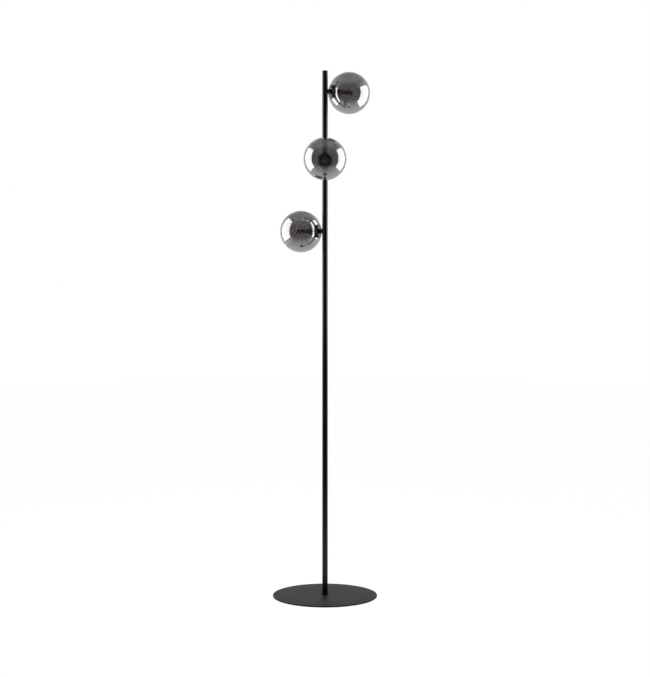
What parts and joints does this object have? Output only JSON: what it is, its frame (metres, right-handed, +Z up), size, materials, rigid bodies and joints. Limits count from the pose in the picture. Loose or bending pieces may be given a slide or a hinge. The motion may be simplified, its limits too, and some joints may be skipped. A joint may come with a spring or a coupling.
{
  "type": "floor lamp",
  "caption": "Floor lamp with a round flat base, a straight stem and smoked glass globes on short arms that unscrew for the bulbs.",
  "frame": {"origin": "on the floor, under the middle of the round base", "axes": "+Z up along the stem; -Y is the front, where the middle globe points"},
  "size_m": [0.3, 0.3, 1.507],
  "materials": {
    "base_coat": "matt textured powder coat",
    "stem_coat": "satin powder coat",
    "dish_coat": "satin powder coat",
    "pad_foam": "closed-cell foam",
    "zinc_steel": "zinc plated",
    "turned_brass": "turned, unlacquered",
    "grommet_rubber": "moulded",
    "cable_sheath": "extruded PVC",
    "lead_sleeve": "braided glass-fibre sleeve",
    "hub_moulding": "moulded thermoset",
    "holder_ceramic": "unglazed steatite",
    "spring_nickel": "nickel plated spring strip",
    "seal_silicone": "moulded silicone",
    "ring_aluminium": "black anodised",
    "smoked_glass": "smoked, half mirrored",
    "bulb_base_plastic": "moulded",
    "pin_wire": "bright nickel",
    "lamp_phosphor": "phosphor gel",
    "bulb_clear": "clear"
  },
  "bodies": {
    "stand": {"base_plate": "base_coat", "base_pads": "pad_foam", "foot_screw": "zinc_steel", "foot_plug": "zinc_steel", "stem_lower": "stem_coat", "stem_middle": "stem_coat", "stem_upper": "stem_coat", "stem_cap": "stem_coat", "stem_coupler_lower": "zinc_steel", "stem_coupler_upper": "zinc_steel", "cable_grommet": "grommet_rubber", "stem_cable": "cable_sheath", "arm_nipples": "turned_brass", "arm_lock_washers": "zinc_steel", "arm_nuts": "turned_brass", "holder_rings": "spring_nickel", "arm_top": "stem_coat", "dish_top": "dish_coat", "hub_top": "hub_moulding", "lampholder_top": "holder_ceramic", "contacts_top": "spring_nickel", "leads_top": "lead_sleeve", "arm_middle": "stem_coat", "dish_middle": "dish_coat", "hub_middle": "hub_moulding", "lampholder_middle": "holder_ceramic", "contacts_middle": "spring_nickel", "leads_middle": "lead_sleeve", "arm_low": "stem_coat", "dish_low": "dish_coat", "hub_low": "hub_moulding", "lampholder_low": "holder_ceramic", "contacts_low": "spring_nickel", "leads_low": "lead_sleeve"},
    "seal_top": {"globe_seal_top": "seal_silicone"},
    "globe_top": {"globe_ring_top": "ring_aluminium", "globe_top": "smoked_glass"},
    "bulb_top": {"bulb_base_top": "bulb_base_plastic", "bulb_pins_top": "pin_wire", "bulb_core_top": "lamp_phosphor", "bulb_cover_top": "bulb_clear"},
    "seal_middle": {"globe_seal_middle": "seal_silicone"},
    "globe_middle": {"globe_ring_middle": "ring_aluminium", "globe_middle": "smoked_glass"},
    "bulb_middle": {"bulb_base_middle": "bulb_base_plastic", "bulb_pins_middle": "pin_wire", "bulb_core_middle": "lamp_phosphor", "bulb_cover_middle": "bulb_clear"},
    "seal_low": {"globe_seal_low": "seal_silicone"},
    "globe_low": {"globe_ring_low": "ring_aluminium", "globe_low": "smoked_glass"},
    "bulb_low": {"bulb_base_low": "bulb_base_plastic", "bulb_pins_low": "pin_wire", "bulb_core_low": "lamp_phosphor", "bulb_cover_low": "bulb_clear"}
  },
  "joints": [
    {"name": "globe_top_lift", "type": "slide", "parent": "stand", "child": "seal_top", "axis": [0.866, 0.5, 0], "range_m": [0, 0.095]},
    {"name": "globe_top_unscrew", "type": "hinge", "parent": "seal_top", "child": "globe_top", "pos_m": [0.06932, 0.04002, 1.447], "axis": [0.866, 0.5, 0], "range_deg": [0, 720]},
    {"name": "bulb_top_pull", "type": "slide", "parent": "stand", "child": "bulb_top", "axis": [0.866, 0.5, 0], "range_m": [0, 0.012]},
    {"name": "globe_middle_lift", "type": "slide", "parent": "stand", "child": "seal_middle", "axis": [0, -1, 0], "range_m": [0, 0.095]},
    {"name": "globe_middle_unscrew", "type": "hinge", "parent": "seal_middle", "child": "globe_middle", "pos_m": [0, -0.08004, 1.2485], "axis": [0, -1, 0], "range_deg": [0, 720]},
    {"name": "bulb_middle_pull", "type": "slide", "parent": "stand", "child": "bulb_middle", "axis": [0, -1, 0], "range_m": [0, 0.012]},
    {"name": "globe_low_lift", "type": "slide", "parent": "stand", "child": "seal_low", "axis": [-0.866, 0.5, 0], "range_m": [0, 0.095]},
    {"name": "globe_low_unscrew", "type": "hinge", "parent": "seal_low", "child": "globe_low", "pos_m": [-0.06932, 0.04002, 1.05], "axis": [-0.866, 0.5, 0], "range_deg": [0, 720]},
    {"name": "bulb_low_pull", "type": "slide", "parent": "stand", "child": "bulb_low", "axis": [-0.866, 0.5, 0], "range_m": [0, 0.012]}
  ]
}
